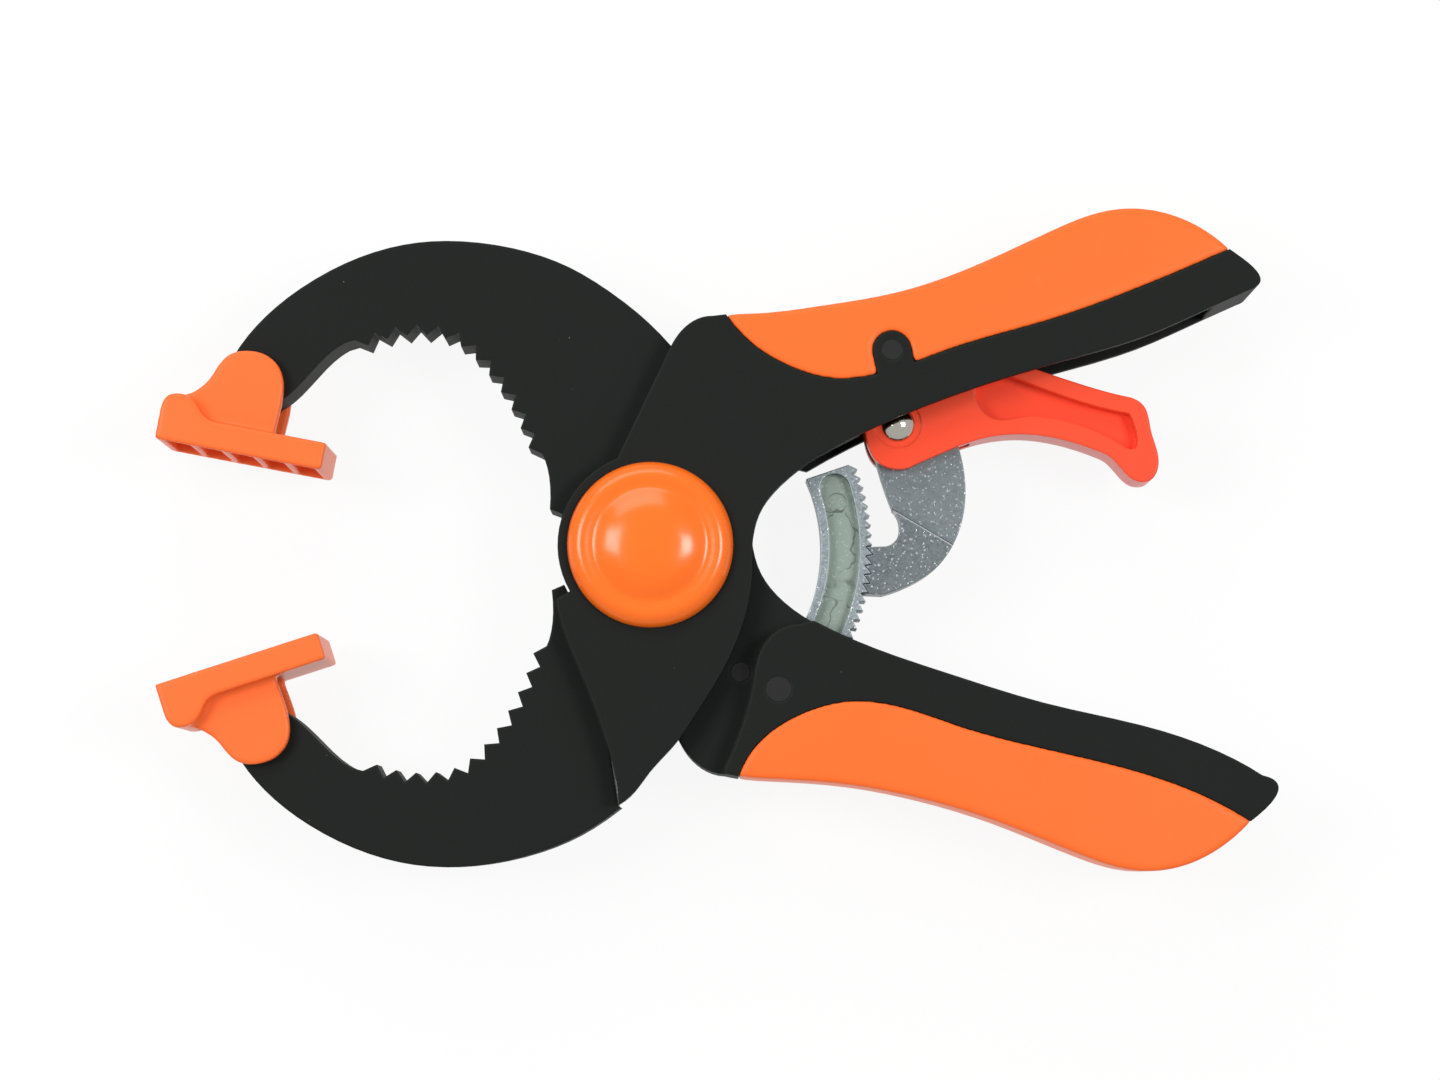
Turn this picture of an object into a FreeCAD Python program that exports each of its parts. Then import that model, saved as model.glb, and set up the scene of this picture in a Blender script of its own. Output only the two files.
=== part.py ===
"""Ratcheting spring clamp: two crossing plastic halves, swivel pads, a ratchet sector and a trigger.

Millimetres. The pivot axis is Z, the jaws point along -X and the handles along +X. The shapes are
drawn round the pivot, half way through the thickness, and moved to the row's origin at the end.
"""
import FreeCAD, Part
import math
import os

# Layers through the thickness, measured from the middle
HANDLE_HALF = 12.0          # half the width of the handles
FRONT_CHANNEL_START = 41.0  # the deep hollow of the front half starts at this x
REAR_CHANNEL_START = 33.0
BACK_CHANNEL_START = 8.0    # behind its own plate, the front half's hollow starts here
JAW_HALF = 6.5              # half the thickness of the toothed jaws
LAP_GAP = 0.3               # running gap between a jaw and the other half's hub plate
CHANNEL_HALF = 9.2          # half the hollow between a handle's side walls
SECTOR_HALF = 4.0           # half the thickness of the ratchet sector and of the pawl's hook
SECTOR_PLAY = 0.2           # gap each side of the sector in its slot
SPINE = 2.6                 # wall along the back of a handle
GRIP_BACK = 2.2             # soft grip over the back of the handle
GRIP_SIDE = 1.2             # soft grip over the sides
GRIP_PROUD = 0.2            # how far the grip stands out of the side

# Pivot
HUB_R = 18.1                # hub plate's round end
HUB_DISC_R = 18.0           # the rear half's hub under it
HUB_GAP = 0.5               # gap from that hub to the front jaw's root
BUSH_R = 6.0
BOLT_R = 4.0
SHAFT_PLAY = 0.05           # radial running clearance of every pin and shaft
SEAT_PLAY = 0.02            # radial clearance of what doesn't turn
END_PLAY = 0.1              # how much longer the bush is than the two halves
CAP_RISE = 5.6              # height of the dome over the hub plate
CAP_WALL = 0.9
CAP_SKIRT_R = 15.1
CAP_SKIRT = 1.1             # skirt depth in the hub plate's groove
HEAD_R = 7.0                # across the corners of the bolt head and nut
HEAD_HEIGHT = 2.4
WASHER_R = 8.5
WASHER_THICK = 0.9
SPRING_WIRE = 2.0
SPRING_R = 11.2             # mean radius of the opening spring
SPRING_TURNS = 3.5
SPRING_PITCH = 2.6
SPRING_BEND = 2.0           # bend from the coil to each end
SPRING_END = 2.6            # straight end in its hole
SPRING_POCKET_PLAY = 0.7
SPRING_END_PLAY = 0.25
SPRING_UNDER = 0.5          # gap under the coil
SPRING_OVER = 0.15          # and over it

# Travel of the rear half, and how far it is turned from a mirrored front half
OPEN_LIMIT = -20.0
POSE_TURN = 3.0

# Ratchet
PITCH_ANGLE = 2.5           # degrees from tooth to tooth
TOOTH_TIP_R = 43.6
TOOTH_DEPTH = 1.4
TOOTH_STEEP = 0.2           # share of the pitch taken by the steep face
TOOTH_PLAY = 0.12           # gap between the meshed teeth
FIRST_TOOTH = 22.9          # degrees above the X axis
SECTOR_TOOTH_COUNT = 25
SKIPPED_TOOTH_COUNT = 9           # sector teeth above the pawl's first one
PAWL_TOOTH_COUNT = 5
SECTOR_IN_R = 33.5
SECTOR_TOP = 24.0
SECTOR_FOOT = -63.0
SECTOR_RIM = 1.7            # rims round the channel of the sector
SECTOR_WEB_HALF = 1.8       # half the thickness of the channel's floor
CHANNEL_TOP = 20.0
CHANNEL_FOOT = -36.0
SLOT_GAP = 0.5              # gap round the sector in the handle
EJECTOR_MARK = (36.7, 9.1)
EJECTOR_R = 1.9
EJECTOR_DEPTH = 0.25

# Pins
SECTOR_PIN_OUTER = (25.0, -28.2)
SECTOR_PIN_OUTER_R = 2.5
SECTOR_PIN_INNER = (17.6, -24.6)
SECTOR_PIN_INNER_R = 2.0
PIN_SEAT = 2.2              # ring of material round a pin
PAWL_PIN = (47.3, 38.3)
PAWL_PIN_R = 2.05
PAWL_BOSS_R = 3.7
PAWL_NOTCH_LEAN = 12.0      # the boss opens to the handle at this lean
RIVET = (48.6, 24.3)
RIVET_R = 2.0
RIVET_HEAD_R = 3.5
RIVET_HEAD_RISE = 1.8
SPOT_FACE_R = 4.7
SPOT_FACE_DEPTH = 0.3

# Trigger, pawl and their return spring
TRIGGER_HALF = 6.0
TRIGGER_HUB_R = 5.2
TRIGGER_SLOT_END = 63.0     # the pawl's slot in the trigger ends here
TRIGGER_WEB_HALF = 2.4      # half the floor between the finger lever's side pockets
PAWL_HALF = 2.6             # half the thickness of the pawl above the step
PAWL_PLAY = 0.15            # gap between the pawl and the trigger's cheeks
PAWL_ARM_R = 4.6
RETURN_SPRING_X = 67.0
RETURN_SPRING_FOOT = 35.5
RETURN_SPRING_HEAD = 49.6
RETURN_SPRING_R = 2.2
RETURN_SPRING_WIRE = 0.7
RETURN_SPRING_PLAY = 0.05   # gap at each end
RETURN_SPRING_TURN_COUNT = 6
SPRING_SEAT_R = 3.2
SPRING_PEG_R = 1.3
SPRING_PEG = 1.8

# Pads, in their own axes: the hinge is the origin and the clamping face lies below it
PAD_AT = (-76.8, -35.8)     # hinge on the front half's jaw
UPPER_PAD_TURN = -10.8
LOWER_PAD_TURN = 18.0
PAD_HALF = 12.5
PAD_FACE_DROP = 14.1
PAD_BAR = 5.4               # thickness of the clamping bar
PAD_LEFT = -16.0
PAD_RIGHT = 17.2
PAD_CHEEK_OUT = 9.4         # outer face of a cheek
PAD_SLOT_HALF = 6.8         # half the slot that takes the jaw's tip
PAD_BOSS_R = 6.7
PAD_POCKET_DEPTH = 2.8
PAD_RIM = 1.6
PAD_RIB = 1.3
PAD_CELL_COUNT = 5
PAD_PIN_R = 1.75
PAD_PIN_COVER = 0.8         # plastic left over the ends of the pad's pin
PAD_NOSE = [(-16.0, -8.6), (-15.6, -6.5), (-14.0, -5.2), (-11.6, -4.8), (-9.8, -4.9), (-8.2, -7.0),
            (-6.4, -8.7)]
CHEEK_NECK_LEFT = [(-10.6, -6.0), (-9.6, -3.2), (-8.1, -1.0)]
CHEEK_NECK_RIGHT = [(6.6, -1.0), (6.5, -6.4), (7.6, -8.9)]

# Teeth inside the jaws
JAW_TOOTH_COUNT = 12
JAW_TOOTH_DEPTH = 2.1
JAW_TIP_R = 5.9
JAW_TIP_START = -149.0
JAW_TIP_END = -322.0
JAW_ROOT_R = 39.2           # the rear jaw's root runs on under the front plate, at this radius
JAW_ROOT_END = -49.0        # and to this angle
FRONT_ROOT = [(18.0, -80.0), (26.0, -82.0), (30.0, -90.0), (34.0, -99.0), (37.5, -103.0), (51.2, -97.0)]

# Jaw of the front half, seen from the front; the rear half's is its mirror image
JAW_OUTER = [(6.2, -39.3), (0.9, -45.3), (-5.9, -51.2), (-13.7, -56.4), (-21.5, -59.7), (-33.2, -62.3),
             (-43.0, -62.6), (-52.8, -60.8), (-64.5, -55.8), (-75.9, -47.2), (-79.2, -43.3), (-81.9, -38.8)]
JAW_LEAD = [(-70.9, -32.8), (-67.3, -35.7), (-63.4, -39.6), (-58.2, -43.4)]
JAW_TOOTH_ROOTS = [(-56.2, -43.9), (-49.7, -45.9), (-42.5, -46.3), (-36.5, -44.8), (-31.2, -40.4),
                   (-25.9, -32.9), (-22.2, -25.0), (-20.4, -19.5)]
JAW_TAIL = [(-19.9, -18.3), (-19.2, -14.5), (-19.2, -10.5), (-19.4, -8.5)]

# Hub plate of the front half
PLATE_LEFT = [(3.8, 38.6), (-2.0, 26.4), (-6.5, 16.9)]
PLATE_STEP = [(-18.3, -10.6), (-17.0, -16.0), (-13.5, -24.7), (-9.0, -36.5), (-6.0, -50.6)]
PLATE_RIGHT = [(-6.0, -50.6), (-2.9, -48.0), (-0.2, -44.4), (4.5, -39.2), (9.0, -32.8), (12.3, -27.6),
               (15.6, -21.5), (18.5, -13.7), (19.9, -3.0)]
PLATE_ARCH = [(19.9, -3.0), (20.1, 1.5), (21.4, 6.4)]
SHOULDER = [(8.2, 43.9), (5.4, 41.3), (3.8, 38.6)]
RAISED_STEP = [(12.4, 44.1), (16.2, 36.0), (18.6, 28.5), (20.1, 22.5), (22.4, 19.2), (25.4, 17.4), (28.4, 17.0)]
# Edge of the ledge under the front plate, from the hub out: radius and angle
TONGUE_EDGE = [(17.0, 40.0), (25.0, 60.0), (29.5, 71.0), (34.0, 80.0), (38.0, 84.3)]

# Upper handle, from the arch to the tip and back along the top
UPPER_INNER = [(25.3, 11.7), (31.0, 16.4), (41.6, 22.1), (58.6, 29.2), (78.2, 35.5), (97.8, 41.4),
               (107.6, 45.7), (117.5, 50.2)]
UPPER_TIP = [(117.5, 50.2), (119.6, 52.2), (118.2, 54.6), (113.6, 58.2)]
UPPER_OUTER = [(113.6, 58.2), (105.8, 63.7), (98.0, 66.1), (90.2, 66.0), (78.4, 61.8), (63.6, 55.0),
               (48.9, 49.9), (34.2, 47.2), (21.0, 45.6), (14.8, 45.3), (12.2, 45.0)]
UPPER_GRIP_EDGE = [(14.8, 45.3), (19.5, 39.8), (28.0, 34.7), (36.0, 32.6), (44.0, 33.4), (58.6, 38.4),
                   (78.3, 44.2), (97.9, 51.4), (113.6, 58.2)]

# Lower handle
LOWER_INNER = [(25.2, -9.9), (31.9, -14.8), (43.8, -20.2), (58.4, -25.2), (77.8, -31.1), (97.2, -35.6),
               (108.0, -39.2), (119.0, -44.9)]
LOWER_TIP = [(119.0, -44.9), (122.1, -47.6), (120.8, -50.1), (116.7, -53.8)]
LOWER_OUTER = [(116.7, -53.8), (109.5, -59.8), (102.8, -62.7), (94.5, -63.4), (84.0, -60.5), (68.0, -54.1),
               (52.0, -49.3), (38.9, -46.8), (25.0, -45.7), (17.2, -45.1), (14.6, -44.6)]
LOWER_GRIP_EDGE = [(17.2, -45.1), (21.0, -38.6), (29.2, -33.0), (38.0, -30.5), (47.0, -31.1), (60.3, -35.3),
                   (80.0, -40.4), (99.0, -45.4), (116.7, -53.8)]

# Pawl and trigger outlines
PAWL_THROAT = [(46.3, 0.3), (48.5, 1.9), (49.1, 4.6), (47.7, 7.6)]
PAWL_NECK = [(47.7, 7.6), (45.9, 12.4), (44.2, 18.4)]
PAWL_BACK = [(55.6, 33.0), (60.2, 22.0), (62.1, 11.5), (60.7, 3.2), (57.0, -3.0), (51.0, -7.2), (45.6, -9.2)]
PAWL_STEP = [(47.0, 8.1), (61.0, -0.2)]
TRIGGER_END = [(42.4, 26.0), (42.4, 21.4), (44.6, 16.9), (48.4, 15.4), (52.0, 16.3)]
TRIGGER_UNDER = [(52.0, 16.3), (56.8, 18.4), (64.7, 21.3), (73.5, 22.3), (82.3, 20.9), (89.4, 18.4)]
TRIGGER_TOE = [(89.4, 18.4), (92.5, 15.6), (95.4, 13.1), (98.4, 13.3), (99.9, 16.4), (98.5, 22.9),
               (97.4, 27.4), (94.4, 29.6)]
TRIGGER_TOP = [(94.4, 29.6), (86.0, 31.8), (76.9, 34.8), (68.0, 37.6), (58.0, 40.4)]
POCKET_TOP = [(66.0, 35.4), (72.6, 33.2), (80.4, 30.2), (88.3, 27.7), (94.2, 26.4)]
POCKET_END = [(94.2, 26.4), (95.6, 22.8), (95.4, 19.6), (93.2, 19.8)]
POCKET_UNDER = [(93.2, 19.8), (88.2, 22.6), (82.0, 24.8), (74.0, 25.8), (67.2, 25.5), (64.6, 28.0),
                (66.0, 35.4)]

# Cap: radius and height of the dome, from the rim's foot to the middle
CAP_PROFILE = [(16.2, 0.0), (16.0, 1.3), (14.9, 2.7), (13.1, 3.35), (11.4, 3.1), (9.9, 3.7), (7.0, 4.9),
               (3.5, 5.45), (0.0, 5.6)]


def vec(x, y, z=0.0):
    return FreeCAD.Vector(x, y, z)


def polar(radius, degrees):
    return (radius * math.cos(math.radians(degrees)), radius * math.sin(math.radians(degrees)))


def bearing(point):
    """Angle of the point as seen from the pivot, in degrees."""
    return math.degrees(math.atan2(point[1], point[0]))


def turn(point, degrees, centre=(0.0, 0.0)):
    """The point turned about a centre."""
    c, s = math.cos(math.radians(degrees)), math.sin(math.radians(degrees))
    x, y = point[0] - centre[0], point[1] - centre[1]
    return (centre[0] + x * c - y * s, centre[1] + x * s + y * c)


def straight(points):
    """A run of straight edges through the points."""
    return [Part.makeLine(vec(*a), vec(*b)) for a, b in zip(points, points[1:])]


def smooth(points):
    """One smooth curve through the points."""
    curve = Part.BSplineCurve()
    curve.interpolate([vec(*p) for p in points])
    return [curve.toShape()]


def arc(centre, radius, start, end):
    """An arc from one angle to another, in degrees, either way round."""
    points = [polar(radius, a) for a in (start, (start + end) / 2, end)]
    return [Part.Arc(*[vec(centre[0] + x, centre[1] + y) for x, y in points]).toShape()]


def ends(edge):
    return edge.valueAt(edge.FirstParameter), edge.valueAt(edge.LastParameter)


def face(*stretches):
    """A flat face bounded by the stretches in order, with straight joins where they don't meet."""
    edges = []
    for edge in [e for stretch in stretches for e in stretch]:
        if edges and (ends(edge)[0] - ends(edges[-1])[1]).Length > 1e-6:
            edges.append(Part.makeLine(ends(edges[-1])[1], ends(edge)[0]))
        edges.append(edge)
    if (ends(edges[0])[0] - ends(edges[-1])[1]).Length > 1e-6:
        edges.append(Part.makeLine(ends(edges[-1])[1], ends(edges[0])[0]))
    return Part.Face(Part.Wire(edges))


def slab(flat, low, high):
    """The face made a solid between two heights."""
    base = flat.copy()
    base.translate(vec(0, 0, min(low, high)))
    return base.extrude(vec(0, 0, abs(high - low)))


def disc(centre, radius, low, high):
    return Part.makeCylinder(radius, abs(high - low), vec(centre[0], centre[1], min(low, high)))


def ring(inner, outer, low, high):
    return disc((0, 0), outer, low, high).cut(disc((0, 0), inner, low, high))


def inset(points, distance):
    """Points on a smooth curve through the given ones, moved to the curve's left by the distance."""
    curve = smooth(points)[0]
    moved = []
    for point in points:
        tangent = curve.tangentAt(curve.Curve.parameter(vec(*point)))
        moved.append((point[0] - tangent.y * distance, point[1] + tangent.x * distance))
    return moved


def tooth_run(roots, count, depth):
    """Corner points of equal V teeth that stand to the left of a smooth curve."""
    curve = smooth(roots)[0]
    corners = []
    for i, place in enumerate(curve.discretize(Number=2 * count + 1)):
        tangent = curve.tangentAt(curve.Curve.parameter(place))
        reach = depth if i % 2 else 0.0
        corners.append((place.x - tangent.y * reach, place.y + tangent.x * reach))
    return corners


class Half:
    """How a half of the clamp is drawn: the rear half is mirrored, front to back too, and slightly turned."""

    def __init__(self, side, turned, inner, tip, outer, grip_edge):
        self.side = side
        self.turned = turned
        self.inner = inner
        self.tip = tip
        self.outer = outer
        self.grip_edge = grip_edge

    def at(self, points):
        return [turn((x, y * self.side), self.turned) for x, y in points]

    def angle(self, degrees):
        return degrees * self.side + self.turned

    def slab(self, flat, low, high):
        return slab(flat, low * self.side, high * self.side)

    def disc(self, centre, radius, low, high):
        return disc(centre, radius, low * self.side, high * self.side)

    def arc(self, radius, start, end, centre=(0.0, 0.0)):
        return arc(centre, radius, self.angle(start), self.angle(end))

    def pad_hinge(self):
        return self.at([PAD_AT])[0]


FRONT = Half(1, 0.0, UPPER_INNER, UPPER_TIP, UPPER_OUTER, UPPER_GRIP_EDGE)
REAR = Half(-1, POSE_TURN, LOWER_INNER, LOWER_TIP, LOWER_OUTER, LOWER_GRIP_EDGE)
PLATE_LOW = JAW_HALF + LAP_GAP


def plate_face(half):
    """Hub plate and handle side in one outline."""
    return face(
        straight(half.at(PLATE_LEFT)),
        half.arc(HUB_R, bearing(PLATE_LEFT[-1]), bearing(PLATE_STEP[0]) + 360),
        smooth(half.at(PLATE_STEP)),
        smooth(half.at(PLATE_RIGHT)),
        smooth(half.at(PLATE_ARCH) + half.inner[:2]),
        smooth(half.inner[1:]),
        smooth(half.tip),
        smooth(half.outer),
        smooth([half.outer[-1]] + half.at(SHOULDER)),
    )


def raised_face(half):
    """The full-width part of the handle, beyond the raised step."""
    return face(
        smooth(half.at(RAISED_STEP)),
        smooth(half.inner[1:]),
        smooth(half.tip),
        smooth(half.outer),
    )


def tongue_face(half):
    """The lower ledge between the hub and the raised step, which the other half's plate slides over."""
    return face(
        smooth([half.outer[-1]] + half.at(SHOULDER)),
        smooth(half.at([polar(r, a) for r, a in TONGUE_EDGE[::-1]])),
        half.arc(TONGUE_EDGE[0][0], TONGUE_EDGE[0][1], bearing(PLATE_ARCH[0])),
        smooth(half.at(PLATE_ARCH) + half.inner[:2]),
        smooth(half.at(RAISED_STEP[::-1])),
    )


def channel_face(half, start, inward):
    """The hollow between the handle's side walls from x = start on, open along the inner edge."""
    back = inset(half.outer, inward * half.side)
    (x1, y1), (x2, y2) = back[-2:]
    back.append((0.0, y2 + (y2 - y1) / (x2 - x1) * (0.0 - x2)))
    ceiling = [p for p in back if p[0] > start]
    (x1, y1), (x2, y2) = back[len(ceiling) - 1], back[len(ceiling)]
    corner = (start, y1 + (y2 - y1) / (x2 - x1) * (start - x1))
    mouth = -10.0 * half.side
    return face(
        smooth(ceiling + [corner]),
        straight([corner, (start, mouth), (ceiling[0][0] + 2.0, mouth), ceiling[0]]),
    )


def grip_zone(half):
    """Everything that lies outward of the grip's edge line."""
    edge = half.grip_edge
    out = 30.0 * half.side
    far = [edge[-1], (edge[-1][0] + 12.0, edge[-1][1] + out), (edge[0][0] - 12.0, edge[0][1] + out), edge[0]]
    return face(smooth(edge), straight(far))


def jaw_face(half, hub_radius):
    """C-shaped jaw with its teeth, out to the hinge of the pad."""
    hinge = half.pad_hinge()
    return face(
        smooth(half.at(JAW_OUTER)),
        half.arc(JAW_TIP_R, JAW_TIP_START, JAW_TIP_END, hinge),
        smooth(half.at(JAW_LEAD)),
        straight(half.at(tooth_run(JAW_TOOTH_ROOTS, JAW_TOOTH_COUNT, JAW_TOOTH_DEPTH))),
        smooth(half.at(JAW_TAIL)),
        half.arc(hub_radius, bearing(JAW_TAIL[-1]) + 360, 360 + JAW_ROOT_END - 30.0),
    )


def saw(first, count, swell, lag):
    """Ratchet teeth from the top down: a long flank out to the tip, then a short face back to the root."""
    points = []
    for i in range(count):
        root = first - i * PITCH_ANGLE - lag
        points.append(polar(TOOTH_TIP_R - TOOTH_DEPTH + swell, root))
        points.append(polar(TOOTH_TIP_R + swell, root - PITCH_ANGLE * (1 - TOOTH_STEEP)))
    points.append(polar(TOOTH_TIP_R - TOOTH_DEPTH + swell, first - count * PITCH_ANGLE - lag))
    return points


def sector_lug(grow):
    """The foot of the sector, round its two pins."""
    reach = SECTOR_PIN_INNER_R + PIN_SEAT + grow
    out = bearing(SECTOR_PIN_INNER)
    side = [(SECTOR_PIN_INNER[0] + x, SECTOR_PIN_INNER[1] + y)
            for x, y in (polar(reach, out + 90), polar(reach, out - 90))]
    far = [polar(SECTOR_IN_R + 1.0, bearing(p)) for p in side]
    neck = face(straight([side[0], far[0], far[1], side[1]]))
    return neck, reach


def sector_body(grow, half_thick, top, teeth):
    """The sector's arc and foot, grown all round by a gap where it is used to cut the slot."""
    outer_foot = TOOTH_TIP_R - TOOTH_DEPTH + grow
    if teeth:
        rim = straight(saw(FIRST_TOOTH, SECTOR_TOOTH_COUNT, 0.0, 0.0))
        tail = FIRST_TOOTH - SECTOR_TOOTH_COUNT * PITCH_ANGLE
    else:
        rim = arc((0, 0), TOOTH_TIP_R + grow, top, SECTOR_FOOT)
        outer_foot = TOOTH_TIP_R + grow
        tail = SECTOR_FOOT
    foot = SECTOR_FOOT - math.degrees(grow / SECTOR_IN_R)
    band = face(
        rim,
        arc((0, 0), outer_foot, tail, foot - 0.01),
        arc((0, 0), SECTOR_IN_R - grow, foot, top),
    )
    neck, reach = sector_lug(grow)
    body = slab(band, -half_thick, half_thick)
    body = body.fuse(slab(neck, -half_thick, half_thick))
    return body.fuse(disc(SECTOR_PIN_INNER, reach, -half_thick, half_thick))


def cap_groove(half):
    """Groove in the hub plate for the cap's skirt."""
    top = HANDLE_HALF * half.side
    low = (HANDLE_HALF - CAP_SKIRT - 0.1) * half.side
    return ring(CAP_SKIRT_R - CAP_WALL - SEAT_PLAY, CAP_SKIRT_R + SEAT_PLAY, min(low, top), max(low, top))


def lap_jaw(half, plan):
    """A jaw's plan made solid: full jaw thickness, and joined to its own hub plate where they overlap."""
    body = half.slab(plan, -JAW_HALF, PLATE_LOW + LAP_GAP)
    return body.cut(half.slab(plan.cut(plate_face(half)), JAW_HALF, HANDLE_HALF))


def front_arm():
    """Upper handle, front hub plate and lower jaw."""
    half = FRONT
    inward = GRIP_BACK + SPINE
    plate = half.slab(plate_face(half), PLATE_LOW, HANDLE_HALF)
    plate = plate.cut(half.slab(channel_face(half, FRONT_CHANNEL_START, inward), PLATE_LOW - 1.0, CHANNEL_HALF))
    handle = half.slab(raised_face(half), -HANDLE_HALF, HANDLE_HALF)
    handle = handle.cut(half.slab(channel_face(half, FRONT_CHANNEL_START, inward), -CHANNEL_HALF, CHANNEL_HALF))
    handle = handle.cut(half.slab(channel_face(half, BACK_CHANNEL_START, inward), -CHANNEL_HALF, PLATE_LOW))
    beyond = face(straight([polar(HUB_DISC_R - 3.0, FRONT_ROOT[0][1])] + [polar(r, a) for r, a in FRONT_ROOT]
                           + [(60.0, -80.0), (60.0, 0.0)]))
    jaw = lap_jaw(half, jaw_face(half, HUB_DISC_R + HUB_GAP).cut(beyond))
    arm = plate.fuse([handle, jaw, return_spring_seat()])
    relief = rear_jaw_plan()
    relief.rotate(vec(0, 0), vec(0, 0, 1), OPEN_LIMIT - 1.0)
    arm = arm.cut(slab(relief, -PLATE_LOW, PLATE_LOW))
    arm = arm.cut(disc((0, 0), BUSH_R + SEAT_PLAY, -HANDLE_HALF, HANDLE_HALF))
    arm = arm.cut(cap_groove(half))
    arm = arm.cut(grip_space(half))
    arm = arm.cut(disc(PAWL_PIN, PAWL_PIN_R + SEAT_PLAY, -HANDLE_HALF, HANDLE_HALF))
    arm = arm.cut(disc(half.pad_hinge(), PAD_PIN_R + SEAT_PLAY, -JAW_HALF, JAW_HALF))
    end = spring_end_place(SPRING_TURNS)
    arm = arm.cut(disc(end, SPRING_WIRE / 2 + SPRING_END_PLAY, PLATE_LOW, spring_head_top() + SPRING_END_PLAY))
    return arm.removeSplitter()


def rear_jaw_plan():
    """Plan of the rear half's jaw and the root that runs on under the front plate."""
    start = bearing(JAW_OUTER[0]) - 8.0
    root = face(REAR.arc(JAW_ROOT_R, start, JAW_ROOT_END), REAR.arc(HUB_DISC_R - 3.0, JAW_ROOT_END, start))
    return jaw_face(REAR, HUB_DISC_R - 3.0).fuse(root)


def rear_arm():
    """Lower handle, rear hub plate and upper jaw."""
    half = REAR
    inward = GRIP_BACK + SPINE
    plate = half.slab(plate_face(half), PLATE_LOW, HANDLE_HALF)
    handle = half.slab(raised_face(half), -HANDLE_HALF, HANDLE_HALF)
    tongue = half.slab(tongue_face(half), -JAW_HALF, HANDLE_HALF)
    hub = half.disc((0, 0), HUB_DISC_R, -JAW_HALF, HANDLE_HALF)
    jaw = lap_jaw(half, rear_jaw_plan())
    arm = plate.fuse([handle, tongue, hub, jaw])
    arm = arm.cut(half.slab(channel_face(half, REAR_CHANNEL_START, inward), -CHANNEL_HALF, CHANNEL_HALF))
    arm = arm.cut(sector_body(SLOT_GAP, SECTOR_HALF + SECTOR_PLAY, 40.0, False))
    arm = arm.cut(disc((0, 0), BUSH_R + SHAFT_PLAY, -HANDLE_HALF, HANDLE_HALF))
    pocket_r = SPRING_WIRE / 2 + SPRING_POCKET_PLAY
    floor = JAW_HALF - spring_pocket_depth()
    arm = arm.cut(ring(SPRING_R - pocket_r, SPRING_R + pocket_r, floor, JAW_HALF))
    end = spring_end_place(0.0)
    arm = arm.cut(disc(end, SPRING_WIRE / 2 + SPRING_END_PLAY, spring_foot_low() - SPRING_END_PLAY, floor + 0.5))
    arm = arm.cut(cap_groove(half))
    arm = arm.cut(grip_space(half))
    arm = arm.cut(disc(SECTOR_PIN_OUTER, SECTOR_PIN_OUTER_R + SEAT_PLAY, -HANDLE_HALF, HANDLE_HALF))
    arm = arm.cut(disc(SECTOR_PIN_INNER, SECTOR_PIN_INNER_R + SEAT_PLAY, -HANDLE_HALF, HANDLE_HALF))
    arm = arm.cut(disc(half.pad_hinge(), PAD_PIN_R + SEAT_PLAY, -JAW_HALF, JAW_HALF))
    return arm.removeSplitter()


def grip_space(half):
    """Seat of the soft grip: the zone outward of its edge, less the handle's core and the pin's boss."""
    high = HANDLE_HALF + GRIP_PROUD
    inner = HANDLE_HALF - GRIP_SIDE + GRIP_PROUD
    back = inset(half.outer, GRIP_BACK * half.side)
    deep = -60.0 * half.side
    core = face(
        smooth(back),
        straight([back[-1], (back[-1][0] - 9.0, back[-1][1]), (back[-1][0] - 9.0, deep),
                  (back[0][0] + 9.0, deep), (back[0][0] + 9.0, back[0][1]), back[0]]),
    )
    space = slab(grip_zone(half), -high, high).cut(slab(core, -inner, inner))
    if half.side > 0:
        space = space.cut(disc(PAWL_PIN, PAWL_BOSS_R, -high, high))
        sides = [(PAWL_PIN[0] + x, PAWL_PIN[1] + y) for x, y in
                 ((-PAWL_BOSS_R, 0.0), (-PAWL_BOSS_R, -9.0), (PAWL_BOSS_R, -9.0), (PAWL_BOSS_R, 0.0))]
        notch = face(straight([turn(p, PAWL_NOTCH_LEAN, PAWL_PIN) for p in sides]))
        space = space.cut(slab(notch, -high, high))
    return space


def grip(half):
    """Soft grip: a channel over the handle's back."""
    high = HANDLE_HALF + GRIP_PROUD
    return slab(raised_face(half), -high, high).common(grip_space(half)).removeSplitter()


def biarc(a, ta, b, tb):
    """Two arcs that run from a to b with the given directions at their ends."""
    chord = b - a
    both = ta + tb
    reach = chord.dot(both)
    spread = 2 * (1 - ta.dot(tb))
    if abs(spread) < 1e-9:
        d = chord.dot(chord) / (4 * chord.dot(tb))
    else:
        d = (-reach + math.sqrt(reach * reach + spread * chord.dot(chord))) / spread
    middle = (a + ta * d + b - tb * d) * 0.5
    return [arc_from(a, ta, middle), arc_from(b, tb * -1, middle, True)]


def arc_from(a, tangent, b, reverse=False):
    """The arc that leaves a along the tangent and ends at b."""
    chord = b - a
    along = chord * (1 / chord.Length)
    lean = tangent - along * tangent.dot(along)
    angle = math.acos(max(-1.0, min(1.0, tangent.dot(along))))
    radius = chord.Length / (2 * math.sin(angle))
    crown = (a + b) * 0.5 + lean * (1 / lean.Length) * (radius * (1 - math.cos(angle)))
    if reverse:
        return Part.Arc(b, crown, a).toShape()
    return Part.Arc(a, crown, b).toShape()


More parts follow.
